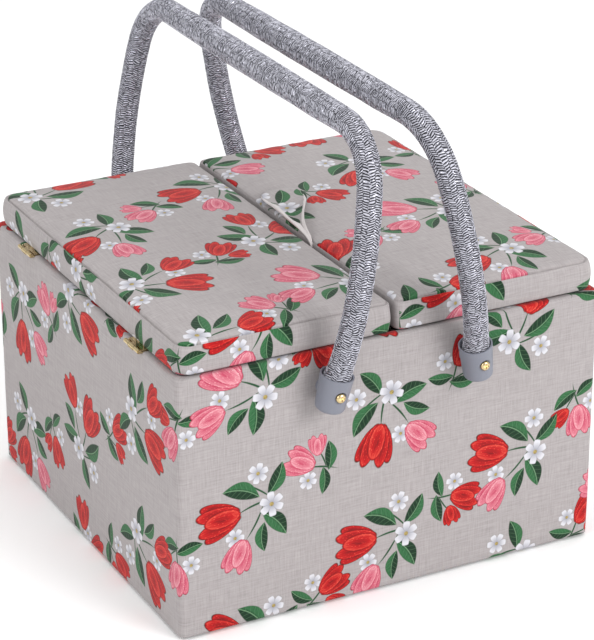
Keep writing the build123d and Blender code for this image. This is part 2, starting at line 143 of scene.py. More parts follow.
# %% Rounded rectangle outlines
def outline(half_x, half_y, corner_radii, spacing):
    """Rounded rectangle, anticlockwise from its back left corner. Each sample has its corner
    (signs that run from -1 to 1 along a side), its radius and its outward direction."""
    corners = np.array([(-1, 1), (-1, -1), (1, -1), (1, 1), (-1, 1)], float)
    radii = [*corner_radii, corner_radii[0]]
    samples, turns = [], np.radians([90, 180, 270, 360])
    for i, start in enumerate(turns):
        arc = np.linspace(start, start + pi / 2, 9)
        samples.append(np.stack([np.full(9, corners[i, 0]), np.full(9, corners[i, 1]),
                                 np.full(9, radii[i]), np.cos(arc), np.sin(arc)], 1))
        side = 2 * (half_y if i % 2 == 0 else half_x)
        t = np.linspace(0, 1, int(side / spacing) // 2 * 2 + 1)[1:-1, None]
        run = corners[i] * (1 - t) + corners[i + 1] * t
        radius = radii[i] * (1 - t) + radii[i + 1] * t
        out = np.tile([np.cos(start + pi / 2), np.sin(start + pi / 2)], (len(t), 1))
        samples.append(np.hstack([run, radius, out]))
    return np.concatenate(samples)


def carried(plan, half_x, half_y, profile, centre=(0, 0)):
    """The outline drawn in by each inset of the profile and raised to its height. The corner
    radius shrinks with the inset, to nothing where the outline becomes a line."""
    inset, height = profile[:, :1], profile[:, 1:]
    radius = plan[:, 2] * (1 - inset / min(half_x, half_y))
    x = plan[:, 0] * (half_x - inset - radius) + plan[:, 3] * radius + centre[0]
    y = plan[:, 1] * (half_y - inset - radius) + plan[:, 4] * radius + centre[1]
    return np.stack([x, y, np.broadcast_to(height, x.shape)], -1)


def rounded_path(stations, step):
    """Straight runs between (inset, height, radius) stations, each corner rounded by a parabola
    that starts its radius before the station, sampled about every step mm."""
    stations = np.array(stations, float)
    points, radius = stations[:, :2], stations[:, 2]
    t = np.linspace(0, 1, 8)[:, None]
    pieces = [points[:1]]
    for i in range(1, len(points) - 1):
        before, after = points[i - 1] - points[i], points[i + 1] - points[i]
        start = points[i] + before / np.linalg.norm(before) * radius[i]
        end = points[i] + after / np.linalg.norm(after) * radius[i]
        pieces.append(start * (1 - t) ** 2 + points[i] * 2 * t * (1 - t) + end * t ** 2)
    dense = np.concatenate([*pieces, points[-1:]])
    along = np.r_[0, np.cumsum(np.linalg.norm(np.diff(dense, axis=0), axis=1))]
    wanted = np.linspace(0, along[-1], max(2, int(along[-1] / step) + 1))
    return np.stack([np.interp(wanted, along, dense[:, k]) for k in (0, 1)], 1)


def wrapped_pattern(points, profile, start=0.0):
    """Cloth coordinates round the piece: the distance along the widest row, and the distance up
    the profile. One column more than the points, so the print doesn't run back at the join."""
    row = points[np.argmin(profile[:, 0])]
    ring = np.r_[row, row[:1]]
    around = np.r_[0, np.cumsum(np.linalg.norm(np.diff(ring, axis=0), axis=1))]
    up = np.r_[0, np.cumsum(np.linalg.norm(np.diff(profile, axis=0), axis=1))]
    up = np.r_[up, up[-1]] + start
    return np.stack(np.meshgrid(around, up), -1)


def laid_flat(points, shift=(0, 0)):
    """Cloth coordinates of a piece cut from flat cloth: where each point lies in plan, with the
    first column and the last row once more, moved by shift to its place on the print."""
    flat = np.concatenate([points, points[:, :1]], 1)[..., :2] + shift
    return np.concatenate([flat, flat[-1:]])


def closed_ends(points):
    """One more row at each end, drawn together in the middle of the row beside it."""
    ends = points[[0, -1]].mean(1, keepdims=True).repeat(points.shape[1], 1)
    return np.concatenate([ends[:1], points, ends[1:]])


# %% [markdown]
# ## The printed cloth of the case
# On the real box one long piece of cloth is glued round four boards, turned under the base and
# over the rim. It is tight, so only a slight unevenness shows, and its corners are as round as
# cloth over a board's edge. It is a thin closed shell here, with a fine outer face.

# %% Case cloth
case_low, case_high = box_mm("case_cover")
CASE_HALF = (case_high - case_low)[:2] / 2
RIM_Z = case_high[2] - 0.25      # the hinge leaves stand just proud of the cloth
CORNER_R = 4.5
RIM_WIDTH = 7.0
BASE_TURN = 13.0
CLOTH_T = 0.7


def case_cloth():
    """Outline carried from the turned hem under the base, up the wall and over the rim, and back
    down its inner face, with the wall pushed out and in by a fraction of a millimetre."""
    outer = [(BASE_TURN, 1.0, 0), (0, 1.0, 1.6), (0, RIM_Z, 1.4), (RIM_WIDTH, RIM_Z, 0.7),
             (RIM_WIDTH, RIM_Z - 2, 0)]
    inner = [(RIM_WIDTH - CLOTH_T, RIM_Z - 2), (CLOTH_T, RIM_Z - CLOTH_T - 0.6),
             (CLOTH_T, 1.0 + 2 * CLOTH_T), (BASE_TURN, 1.0 + CLOTH_T)]
    fine = rounded_path(outer, 1.9)
    profile = np.concatenate([fine, inner])
    plan = outline(*CASE_HALF, [CORNER_R] * 4, 2.2)
    points = carried(plan, *CASE_HALF, profile)
    height = profile[:, 1]
    on_wall = np.clip((height - 4) / 20, 0, 1) * np.clip((RIM_Z - 2 - height) / 8, 0, 1)
    on_wall[len(fine):] = 0
    push = 0.16 * unevenness(points, 70, 3) + 0.05 * unevenness(points, 16, 4)
    points[..., :2] += plan[:, 3:] * (push * on_wall[:, None])[..., None]
    return cloth_mesh("case_cloth", points, wrapped_pattern(points, profile), closed=(True, True))


case = case_cloth()
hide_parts("case_cover")
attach(case, "case")
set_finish(case, "printed_cloth")

# %% [markdown]
# ## The lids
# A lid is a board with a thin layer of wadding. A side band of cloth goes round its edge, and
# the top cloth is sewn to it in a seam that sits in a shallow groove. The top rolls up from the
# seam, has small puckers where the stitches draw it in, and flattens towards the middle. Both
# are one closed surface: the band below the groove, the top above it.

# %% Lid cloth
lid_low, lid_high = box_mm("right_lid_cover")
LID_HALF = (lid_high - lid_low)[:2] / 2
LID_CENTRE_X = (lid_high + lid_low)[0] / 2
LID_FOOT_Z = lid_low[2] + 0.3
LID_TOP_Z = lid_high[2]
SEAM_Z = LID_TOP_Z - 4.5         # bottom of the seam's groove, just over the lid's board
SEAM_INSET = 2.6
PRINT_SHIFT = {"left": (455, 500), "right": (1210, 560)}    # where each lid lies on the print
LID_RADII = {"left": [9, 9, 4.5, 4.5], "right": [4.5, 4.5, 9, 9]}


def lid_cloth(side, seed):
    """Lid outline carried from the middle of its underside, out to the hem, up the band, which
    swells a little, into the groove of the seam, and over the padded top to its middle. At the
    gap the seam lies nearer to the edge, and the band there shows no print."""
    half_x = LID_HALF[0]
    under = np.array([(half_x, LID_FOOT_Z), (30, LID_FOOT_Z), (12, LID_FOOT_Z)])
    band = rounded_path([(8, LID_FOOT_Z, 0), (0.5, LID_FOOT_Z, 1.4), (-0.9, 187, 4.5),
                         (0.1, 195.6, 2.0), (1.0, SEAM_Z + 0.9, 0.5), (SEAM_INSET, SEAM_Z, 0)], 0.8)
    roll = rounded_path([(SEAM_INSET, SEAM_Z, 0), (2.5, SEAM_Z + 1.5, 0.7),
                         (5.0, LID_TOP_Z - 1.9, 1.5), (12, LID_TOP_Z - 0.9, 4),
                         (26, LID_TOP_Z + 0.2, 0)], 0.8)
    middle = rounded_path([(26, LID_TOP_Z + 0.2, 0), (half_x, LID_TOP_Z + 0.2, 0)], 4.5)
    profile = np.concatenate([under, band, roll[1:], middle[1:]])
    seam_row = len(under) + len(band) - 1
    plan = outline(*LID_HALF, LID_RADII[side], 2.4)
    to_gap = -1 if side == "right" else 1
    points = carried(plan, *LID_HALF, profile, (-to_gap * LID_CENTRE_X, 0))
    inset, height = profile[:, :1], profile[:, 1:]
    drawn_in = np.clip(inset, 0, SEAM_INSET) * np.exp(-np.maximum(inset - SEAM_INSET, 0) / 6)
    points[..., 0] += 0.55 * to_gap * np.clip(plan[:, 3] * to_gap, 0, 1) * drawn_in
    above = np.clip((height - SEAM_Z) / 1.5, 0, 1)
    flat = points * (1, 1, 0)
    pucker = np.exp(-np.maximum(inset, 0) / 6) * unevenness(flat, 9, seed) * 0.3
    sag = (1 - np.exp(-np.maximum(inset, 0) / 9)) * unevenness(flat, 75, seed + 1) * 0.42
    points[..., 2] += (pucker + sag) * above
    in_band = np.clip((height - LID_FOOT_Z) / 3, 0, 1) * np.clip((SEAM_Z - 0.5 - height) / 3, 0, 1)
    push = (unevenness(points * (1, 1, 0.4), 22, seed + 2) * 0.22 + pucker * 0.3) * in_band
    points[..., :2] += plan[:, 3:] * push[..., None]
    wrap = wrapped_pattern(points, profile, start=-8)
    inner_edge = (plan[:, 3] * to_gap > 0.7) & (np.arange(len(points))[:, None] < seam_row)
    top = laid_flat(points, PRINT_SHIFT[side])
    return cloth_mesh(f"{side}_lid_cloth", points, wrap, top_pattern=top, seam_row=seam_row,
                      plain=inner_edge)


for side, seed in (("left", 11), ("right", 23)):
    lid = lid_cloth(side, seed)
    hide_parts(f"{side}_lid_cover", f"{side}_lid_wadding")
    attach(lid, f"{side}_lid")
    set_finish(lid, "printed_cloth")

# %% [markdown]
# ## The pull tab
# A strap of the same cloth is sewn in at the gap. It comes up pinched, and fans out into a
# shallow cup that lies on the right lid. It is a band carried through a few cross sections, with
# its edges turned, and a smooth curve runs through the sections.

# %% Pull tab
# y, left edge (x, z), right edge (x, z), sag of the middle
TAB_SECTIONS = np.array([(-33, 0.3, 188, 1.5, 188, 0.0), (-31.5, 0.1, 195, 1.8, 195, 0.1),
                         (-28, -0.6, 199.6, 2.2, 200.6, 0.6), (-20, -1.0, 202.0, 3.4, 203.6, 1.4),
                         (-10, -1.1, 203.4, 6.8, 205.6, 3.0), (2, -0.8, 204.0, 13.0, 206.2, 4.6),
                         (14, 0.2, 203.6, 20.2, 205.8, 4.4), (26, 1.0, 202.8, 26.8, 204.6, 2.8),
                         (38, 1.6, 202.2, 30.5, 203.2, 0.8), (48, 4.0, 201.9, 31.5, 202.2, -0.6),
                         (55, 11, 201.3, 27, 201.3, -0.4)])
TAB_T = 0.9
HEM_WIDTH = 4.8, 2.0         # at the gap, and at the other edge
TAB_ALONG, TAB_ACROSS = 90, 60    # grid rows, and grid columns on each face


def smooth_through(stations, count):
    """Curve through the stations: between two of them a cubic whose slopes are half the way from
    the station before to the one after."""
    padded = np.concatenate([2 * stations[:1] - stations[1:2], stations,
                             2 * stations[-1:] - stations[-2:-1]])
    place = np.linspace(0, len(stations) - 1 - 1e-9, count)
    i, t = place.astype(int), (place % 1)[:, None]
    a, b, c, d = (padded[i + k] for k in range(4))
    return b + t * (c - a) / 2 + t ** 2 * (2 * a - 5 * b + 4 * c - d) / 2 + t ** 3 * (
        3 * b - a - 3 * c + d) / 2


def pull_tab():
    """Each cross section is an arc across the tab, deepest left of its middle, gone along on top
    and back underneath, one cloth thickness apart. Both edges are rolled into a round hem, which
    shows the plain back of the cloth and thins out towards the far end. The back is painted paler
    than the ground: partly the cloth's own unprinted back, partly a painted highlight where the
    rolled hems catch the light."""
    y, x0, z0, x1, z1, sag = (v[:, None] for v in smooth_through(TAB_SECTIONS, TAB_ALONG).T)
    across = np.linspace(0, 1, TAB_ACROSS)
    around = np.r_[across, across[::-1]]
    on_top = np.repeat([1.0, 0.0], TAB_ACROSS)
    width = np.maximum(np.hypot(x1 - x0, z1 - z0), 3)
    edge = np.minimum(around, 1 - around) * width
    half_hem = np.where(around < 0.5, *HEM_WIDTH) / 2 * np.clip((42 - y) / 18, 0.02, 1)
    rolled = np.sqrt(np.clip(1 - (edge / half_hem - 1) ** 2, 0, 1))
    rolled = rolled * np.minimum(width / 12 + 0.4, 1)
    body = TAB_T * np.sin(pi / 2 * np.clip(edge, 0, 1))
    x = x0 + (x1 - x0) * around
    z = z0 + (z1 - z0) * around - sag * (1 - (2 * around ** 0.8 - 1) ** 2)
    z = z + on_top * np.maximum(body, 1.1 * half_hem * rolled)
    points = closed_ends(np.stack([x, np.broadcast_to(y, x.shape), z], -1))
    # A 2 marks the back of the cloth, underneath and on the hems. The linen paints it paler, partly
    # as a painted highlight on the hems.
    hem = np.pad(((edge < 2 * half_hem) | (on_top < 1)) * 2, ((1, 1), (0, 0)), mode="edge")
    return cloth_mesh("pull_tab_cloth", points, laid_flat(points, PRINT_SHIFT["right"]), plain=hem)


tab = pull_tab()
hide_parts("pull_tab")
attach(tab, "right_lid")
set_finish(tab, "printed_cloth")

# %% [markdown]
# ## The knitted covers of the handles
# Each handle is a bent steel rod in a knitted tube, whose stitches lie in columns of small V
# shapes. The covers could be real knitted yarn, but thousands of strands would be too heavy, so
# the tube's surface rises and falls with the stitches, and the material sharpens them.

# %% Rope covers
HANDLES = {"left": (-51.0, 9.0), "right": (51.0, -12.0)}    # x of the pivots, lean in degrees
PIVOT_Z = 155.0
LEG_Y = 157.5
LEG_SPLAY = radians(14)
ROPE_START, LEG_STRAIGHT = 10.0, 25.0
BOW_R, BOW_TURN = 220.0, radians(28)
SHOULDER_R, SHOULDER_TURN = 41.0, radians(76)
ROPE_R, GRIP_R = 7.6, 8.6
TUBE_R = 8.0                 # of the straight tube that the slow waves are worked out on
CAP_FILL = 1.0               # the cover bulges by this where it leaves the cap
STITCH_COLUMNS, STITCH_ROWS = 6, 400
V_DEPTH = 0.7                # rows that a stitch's arm climbs over half a column
STITCH_RISE = 0.8
SPLIT, ROW_SPLIT = 12, 3     # grid columns in a stitch column, and grid rows in its row


def handle_line(count):
    """Centre line in the upright Y-Z plane, from the back cap to the front cap. The direction is
    a function of the distance: constant in the straight runs, turning evenly in the arcs, and
    the line is the sum of its small steps."""
    runs = [LEG_STRAIGHT - ROPE_START, BOW_R * BOW_TURN, SHOULDER_R * SHOULDER_TURN]
    marks = np.cumsum([0, *runs])
    heading = [LEG_SPLAY, LEG_SPLAY, LEG_SPLAY - BOW_TURN, LEG_SPLAY - BOW_TURN - SHOULDER_TURN]
    leg_s = np.linspace(0, marks[-1], 4000)
    angle = np.interp(leg_s, marks, heading)
    step = leg_s[1]
    y = LEG_Y + ROPE_START * np.sin(LEG_SPLAY) + np.r_[0, np.cumsum(np.sin(angle[1:])) * step]
    z = ROPE_START * np.cos(LEG_SPLAY) + np.r_[0, np.cumsum(np.cos(angle[1:])) * step]
    grip_y = np.linspace(y[-1], -y[-1], 1000)[1:-1]
    line_y = np.r_[y, grip_y, -y[::-1]]
    line_z = np.r_[z, np.full(len(grip_y), z[-1]), z[::-1]]
    along = np.r_[0, np.cumsum(np.hypot(np.diff(line_y), np.diff(line_z)))]
    wanted = np.linspace(0, along[-1], count)
    line = np.stack([np.interp(wanted, along, line_y), np.interp(wanted, along, line_z)], 1)
    return line, wanted, y[-1]


def rope_cover(side):
    """Rings round the centre line. The radius swells along the grip by a parabola, and each
    stitch adds a small rise. A stitch is half a V wide, its ridge climbs across it, and its
    neighbours lie half a row higher or lower. Slow waves pull the rows and columns askew."""
    rows, columns = STITCH_ROWS * ROW_SPLIT, STITCH_COLUMNS * SPLIT
    line, along, grip_half = handle_line(rows + 1)
    tangent = np.gradient(line, axis=0)
    tangent /= np.linalg.norm(tangent, axis=1)[:, None]
    swell = np.clip(1 - (line[:, 0] / (grip_half + 20)) ** 2, 0, 1)
    swell *= np.clip((line[:, 1] - 110) / 50, 0, 1)
    to_cap = np.exp(-np.minimum(along, along[-1] - along) / 6)
    radius = ROPE_R + (GRIP_R - ROPE_R) * swell + CAP_FILL * to_cap
    ring_column = np.arange(columns + 1) / SPLIT
    angle = -2 * pi * ring_column / STITCH_COLUMNS
    on_tube = np.stack(np.broadcast_arrays(
        along[:, None], TUBE_R * np.cos(angle), TUBE_R * np.sin(angle)), -1)
    column = ring_column + 0.11 * unevenness(on_tube, 9, 61)
    row = np.arange(rows + 1)[:, None] / ROW_SPLIT + 0.45 * unevenness(on_tube, 7, 62)
    beside = np.abs(column % 1 - 0.5)
    climb = row - 2 * V_DEPTH * beside + 0.5 * (column % 1 > 0.5)
    across = 0.85 + 0.15 * np.abs(np.sin(2 * pi * column)) ** 0.5
    rise = STITCH_RISE * (np.abs(np.sin(pi * climb)) * across - 0.6)
    ring = (radius[:, None] + rise + 0.15 * unevenness(on_tube, 30, 5))[:, :-1]
    angle = angle[:-1]
    outward = ring * np.sin(angle)
    y = line[:, :1] - tangent[:, 1:] * outward - CAP_FILL * np.sign(line[:, :1]) * to_cap[:, None]
    z = line[:, 1:] + tangent[:, :1] * outward
    points = np.stack([ring * np.cos(angle), y, z], -1)
    core = np.stack([np.zeros(2), line[[0, -1], 0], line[[0, -1], 1]], -1)
    points = np.concatenate([core[:1, None].repeat(columns, 1), points,
                             core[1:, None].repeat(columns, 1)])
    pivot_x, lean = HANDLES[side]
    c, s = np.cos(radians(lean)), np.sin(radians(lean))
    points = points @ np.array([(c, 0, -s), (0, 1, 0), (s, 0, c)])
    points += (pivot_x, 0, PIVOT_Z)
    stitches = np.stack([column, row], -1)
    stitches = np.concatenate([stitches[:1], stitches, stitches[-1:], stitches[-1:]])
    return cloth_mesh(f"{side}_handle_knit", points, stitches)


for side in HANDLES:
    cover = rope_cover(side)
    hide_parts(f"{side}_handle_rope_cover")
    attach(cover, f"{side}_handle")
    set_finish(cover, "rope_cover")

# %% [markdown]
# ## Linings and pads
# Inside, the walls have a plain cloth over thin card, with its top edge turned. The base has a
# thin pad and each lid a padded panel, and a cloth covers the underside. Their edges are turned
# or rolled, which bevelled boxes would miss, so they are outlines carried along a profile again.

# %% Slabs with soft edges
def soft_slab(name, node, stations, seed, radius=6.0, wave=0.25):
    """Closed pad in the box of a part: out from the middle of its underside, round its edge by
    the stations and back to the middle of its top, with a slow unevenness of height wave."""
    low, high = box_mm(node)
    half_x, half_y = (high - low)[:2] / 2
    centre = (low + high)[:2] / 2
    reach = min(half_x, half_y)
    to_middle = [(*stations[-1][:2], 0), (reach, stations[-1][1], 0)]
    profile = np.concatenate([[(reach, stations[0][1])], rounded_path(stations, 0.8),
                              rounded_path(to_middle, 6)[1:]])
    plan = outline(half_x, half_y, [radius] * 4, 4.0)
    points = carried(plan, half_x, half_y, profile, centre)
    away = 1 - np.exp(-np.maximum(profile[:, :1], 0) / 6)
    points[..., 2] += wave * away * unevenness(points, 40, seed)
    return cloth_mesh(name, points, laid_flat(points))


def lining_walls():
    """Plain cloth on the inside of the walls: a thin closed shell, whose profile goes up the
    hidden side, over the turned top edge and down the side that shows."""
    low, high = box_mm("case_lining")
    half = (high - low)[:2] / 2
    profile = rounded_path([(0.1, high[2] - 6, 0), (0.1, high[2], 0.3), (0.8, high[2], 0.4),
                            (0.8, low[2] + 0.2, 0.3), (0.1, low[2] + 0.2, 0)], 2.5)
    plan = outline(*half, [3.0] * 4, 4.0)
    points = carried(plan, *half, profile)
    hang = np.clip((high[2] - profile[:, 1] - 2) / 20, 0, 1) * (profile[:, 0] > 0.7)
    push = 0.15 * unevenness(points, 45, 31) - 0.12
    points[..., :2] += plan[:, 3:] * (push * hang[:, None])[..., None]
    return cloth_mesh("case_lining_cloth", points, wrapped_pattern(points, profile),
                      closed=(True, True))


linings = {"case_lining": lining_walls()}
low, high = (corner[2] for corner in box_mm("base_lining_pad"))
linings["base_lining_pad"] = soft_slab("base_pad_cloth", "base_lining_pad", [
    (1, low, 0), (0.2, low, 0.5), (0.2, high - 1, 1.2), (6, high, 0)], 41)
low, high = (corner[2] for corner in box_mm("base_cloth"))
linings["base_cloth"] = soft_slab("base_under_cloth", "base_cloth", [
    (1.2, low, 0), (0, low, 0.5), (0, low + 1, 0.4), (12, low + 1, 0)], 42, wave=0)
for side, seed in (("left", 43), ("right", 44)):
    low, high = (corner[2] for corner in box_mm(f"{side}_lid_lining"))
    linings[f"{side}_lid_lining"] = soft_slab(f"{side}_lid_lining_cloth", f"{side}_lid_lining", [
        (8, low - 0.4, 0), (0.2, low, 0.8), (0.2, high, 0.2), (2, high + 0.4, 0)], seed, wave=0.12)
for node, piece in linings.items():
    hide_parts(node)
    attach(piece, "case" if "lid" not in node else node.split("_lining")[0])
    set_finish(piece, "base_cloth" if node == "base_cloth" else "lining_cloth")

# %% [markdown]
# ## Pocket and pincushion
# The pocket is a flat piece of lining cloth, sewn on three sides and gathered on elastic along
# the side that opens. The pincushion is stuffed, so it is blown up by a short cloth simulation
# from a smaller block, which gives its full middle and the slack at its corners.

# %% Pocket
ELASTIC_WAVE = 7.0


def lid_pocket():
    """Flat bag: across it the height is a low arch, and towards the open edge it ripples in waves
    of ELASTIC_WAVE mm, where the elastic draws it in."""
    low, high = box_mm("left_lid_pocket")
    across, along = np.linspace(0, 1, 70), np.linspace(0, 1, 260)
    u, v = np.meshgrid(across, along)
    width, length = (high - low)[:2]
    edge = np.clip(np.minimum(np.minimum(v, 1 - v) * length, u * width) / 3, 0, 1)
    gather = np.exp(-(1 - u) * width / 16)
    depth = 0.9 + 1.6 * np.sin(pi * np.clip(u * 0.8, 0, 1)) + 1.2 * u
    wave = 2 * pi * v * length / ELASTIC_WAVE
    ripple = gather * (0.9 * np.sin(wave + 2 * np.sin(9 * v)))
    waist = 1.6 * np.exp(-(((1 - u) * width - 5) / 1.6) ** 2)
    face = high[2] - 0.3 - edge * np.maximum(depth + ripple - waist, 0.5)
    x = low[0] + u * width - gather * 1.5 * np.sin(wave) * edge
    y = low[1] + v * length
    outer = np.stack([x, y, face], -1)
    inner = np.stack([x, y, np.minimum(face + 0.5, high[2])], -1)
    points = closed_ends(np.concatenate([outer[:, ::-1], inner], 1))
    return cloth_mesh("left_lid_pocket_cloth", points, laid_flat(points))


pocket = lid_pocket()
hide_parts("left_lid_pocket")
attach(pocket, "left_lid")
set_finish(pocket, "lining_cloth")

# %% Pincushion
SWELL_MOST = 5.0


def pincushion():
    """Block a little smaller than the part's box, remeshed at 4 mm, swollen by pressure for 20
    frames with its flat back held, and each point kept within SWELL_MOST of its start."""
    low, high = box_mm("right_lid_pincushion")
    drop = high[2] - low[2]
    piece = soft_slab("right_lid_pincushion_cloth", "right_lid_pincushion", [
        (9, high[2] - drop * 0.93, 0), (2.5, high[2] - drop * 0.8, 3.5), (1.0, high[2] - 2.5, 2),
        (3, high[2], 0)], 51, wave=0, radius=13)
    remesh = piece.modifiers.new("even quads", "REMESH")
    remesh.mode, remesh.voxel_size = "VOXEL", 4 * MM
    graph = bpy.context.evaluated_depsgraph_get()
    even = bpy.data.meshes.new_from_object(piece.evaluated_get(graph))
    piece.modifiers.clear()
    piece.data = even
    start = np.empty(len(even.vertices) * 3)
    even.vertices.foreach_get("co", start)
    start = start.reshape(-1, 3)
    held = piece.vertex_groups.new(name="back")
    held.add(np.flatnonzero(start[:, 2] > (high[2] - 1.5) * MM).tolist(), 1.0, "REPLACE")
    cloth = piece.modifiers.new("stuffing", "CLOTH")
    cloth.settings.use_pressure = True
    cloth.settings.uniform_pressure_force = 4
    cloth.settings.effector_weights.gravity = 0
    cloth.settings.vertex_group_mass = "back"
    for number in range(1, 21):
        bpy.context.scene.frame_set(number)
    graph = bpy.context.evaluated_depsgraph_get()
    swollen = np.empty(len(even.vertices) * 3)
    piece.evaluated_get(graph).data.vertices.foreach_get("co", swollen)
    move = swollen.reshape(-1, 3) - start
    length = np.linalg.norm(move, axis=1, keepdims=True)
    move *= np.minimum(1, SWELL_MOST * MM / np.maximum(length, 1e-9))
    piece.modifiers.clear()
    piece.vertex_groups.clear()
    bpy.context.scene.frame_set(1)
    placed = start + move
    placed[:, 2] = np.clip(placed[:, 2], (low[2] - 2.5) * MM, high[2] * MM)
    even.vertices.foreach_set("co", placed.ravel())
    even.shade_smooth()
    finer = piece.modifiers.new("finer", "SUBSURF")
    finer.levels = finer.render_levels = 1
    print(f"pincushion swelled by up to {length.max() / MM:.1f} mm before the cap")
    return piece


cushion = pincushion()
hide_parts("right_lid_pincushion")
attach(cushion, "right_lid")
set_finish(cushion, "cushion_cloth")

# %% [markdown]
# ## Colours and nodes
# Colours are picked as on a screen, in hex, and a shader works in linear light, so one function
# turns one into the other. A second small function adds a node, fills its sockets and hands
# back the output that the next node needs.

# %% Colour and node helpers
def linear(hex_colour):
    """The inverse of the screen's curve for each channel of #rrggbb, with full opacity."""
    channels = np.array([int(hex_colour[i:i + 2], 16) / 255 for i in (1, 3, 5)])
    light = np.where(channels <= 0.04045, channels / 12.92, ((channels + 0.055) / 1.055) ** 2.4)
    return (*light.tolist(), 1.0)


def add(tree, kind, *inputs, out=0, named=None, stops=(), **settings):
    """Adds a node. kind is its type, with a maths node's operation after a space. inputs fill its
    sockets in order, None leaves one alone, named fills sockets by name, stops are the (place,
    hex) pairs of a colour ramp, and settings are its own choices. Gives back the socket numbered
    out."""
    kind, *operation = kind.split()
    node = tree.nodes.new(f"ShaderNode{kind}")
    if operation:
        node.operation = operation[0]
    for key, value in settings.items():
        setattr(node, key, value)
    for _ in stops[2:]:
        node.color_ramp.elements.new(0.5)
    for element, (place, hex_colour) in zip(node.color_ramp.elements if stops else (), stops):
        element.position, element.color = place, linear(hex_colour)
    sockets = [*enumerate(inputs), *(named or {}).items()]
    for key, value in sockets:
        if isinstance(value, bpy.types.NodeSocket):
            tree.links.new(value, node.inputs[key])
        elif value is not None:
            node.inputs[key].default_value = value
    return node.outputs[out] if node.outputs else node


def material(name, surface):
    """A material whose surface is the shader that the given function builds in its tree."""
    made = bpy.data.materials.new(name)
    made.use_nodes = True
    made.node_tree.nodes.clear()
    add(made.node_tree, "OutputMaterial", surface(made.node_tree))
    print(f"{name}: {len(made.node_tree.nodes)} nodes")
    return made

# %% [markdown]
# ## The printed linen
# The real cloth is cotton and linen, woven with uneven threads, in a warm grey, and printed with
# loose sprigs of flowers and leaves. Here the print is a design of tossed tulips and daisies. It
# is drawn by formulas on the flat cloth, in millimetres: the cloth is split into cells, each
# cell turns its sprig by a chance angle, and every petal, leaf and stem is a stretched circle or
# a lens. An image would be simpler, but formulas stay sharp from any distance.

# %% Cells and blades
def tossed_cells(tree, flat, width, height, shift, seed, stray):
    """Splits the cloth into cells in columns, each column half a cell higher than the last.
    Gives the place in mm from the middle of the cell, moved by up to half of stray and turned by
    a chance angle, and the chance numbers of the cell as a colour."""
    u = add(tree, "SeparateXYZ", flat)
    x = add(tree, "Math MULTIPLY_ADD", u, 1 / width, shift[0])
    column = add(tree, "Math FLOOR", x)
    y = add(tree, "Math MULTIPLY_ADD", u.node.outputs[1], 1 / height, shift[1])
    y = add(tree, "Math MULTIPLY_ADD", column, 0.5, y)
    row = add(tree, "Math FLOOR", y)
    cell = add(tree, "CombineXYZ", column, row, seed)
    chance = add(tree, "TexWhiteNoise", cell, out=1, noise_dimensions="3D")
    place = add(tree, "VectorMath SUBTRACT", add(tree, "CombineXYZ", x, y, seed), cell)
    size = (width, height, 1)
    start = tuple(-0.5 * (s + stray) for s in size[:2]) + (0,)
    place = add(tree, "VectorMath MULTIPLY_ADD", place, size, start)
    place = add(tree, "VectorMath MULTIPLY_ADD", chance, (stray, stray, 0), place)
    angle = add(tree, "Math MULTIPLY", chance.node.outputs[0], 2 * pi)
    return add(tree, "VectorRotate", place, None, None, angle, rotation_type="Z_AXIS"), chance


def blade(tree, place, middle, angle, half_length, half_width, bend=0.0):
    """A lens for a leaf or stem. Its edge value is the distance across plus the square of the
    distance along, each in half sizes, so 1 is the outline. bend curves it to one side."""
    scaled = add(tree, "Mapping", place, (*middle, 0), (0, 0, radians(angle)),
                 (half_width, half_length, 1), vector_type="TEXTURE")
    across = add(tree, "SeparateXYZ", scaled)
    along = across.node.outputs[1]
    square = add(tree, "Math MULTIPLY", along, along)
    across = add(tree, "Math MULTIPLY_ADD", square, bend, across)
    edge = add(tree, "Math", add(tree, "Math ABSOLUTE", across), square)
    return edge, across, along


def nearest(tree, shapes):
    """Where several shapes are drawn, each point takes the one whose edge value is least."""
    edge, *rest = shapes[0]
    for other_edge, *other in shapes[1:]:
        closer = add(tree, "Math LESS_THAN", other_edge, edge)
        edge = add(tree, "Math MINIMUM", edge, other_edge)
        rest = [add(tree, "Mix", closer, None, a, b) for a, b in zip(rest, other)]
    return edge, *rest


def inked(tree, edge, blur):
    """1 inside the outline and 0 outside, with the ink's slightly soft edge between."""
    return add(tree, "MapRange", edge, 1 - blur, 1 + blur, 1, 0)


# %% Leaves, tulips and daisies
LEAF_DARK, LEAF_MID, LEAF_VEIN = "#0a2114", "#1a4527", "#6f9470"
RED_INKS = [(0.0, "#340206"), (0.3, "#7c060a"), (0.62, "#b20d11"), (1.0, "#d8503f")]
PINK_INKS = [(0.0, "#7c1730"), (0.3, "#b3405a"), (0.62, "#c7707f"), (1.0, "#dba6ac")]


def leaf_inks(tree, across, along):
    """Darker on one side of the midrib, with side veins that slant forward in a repeat, and
    brush strokes along the veins."""
    size = add(tree, "Math ABSOLUTE", across)
    slant = add(tree, "Math MULTIPLY", size, -1.1)
    step = add(tree, "Math MULTIPLY_ADD", along, 3.6, slant)
    vein = add(tree, "Math PINGPONG", step, 0.5)
    vein = add(tree, "MapRange", vein, 0.0, 0.07, 0.38, 0)
    midrib = add(tree, "MapRange", size, 0.02, 0.08, 0.85, 0)
    lines = add(tree, "Math MAXIMUM", vein, midrib)
    stroke = add(tree, "CombineXYZ", step, add(tree, "Math MULTIPLY", size, 0.6))
    stroke = add(tree, "TexNoise", stroke, named={"Scale": 4.0, "Detail": 3.0})
    half = add(tree, "MapRange", across, -0.15, 0.25, -0.1, 0.5)
    half = add(tree, "Math MULTIPLY_ADD", stroke, 0.7, half)
    green = add(tree, "ValToRGB", half, stops=[(0.1, LEAF_DARK), (0.6, LEAF_MID), (1, "#356b42")])
    return add(tree, "MixRGB", lines, green, linear(LEAF_VEIN))


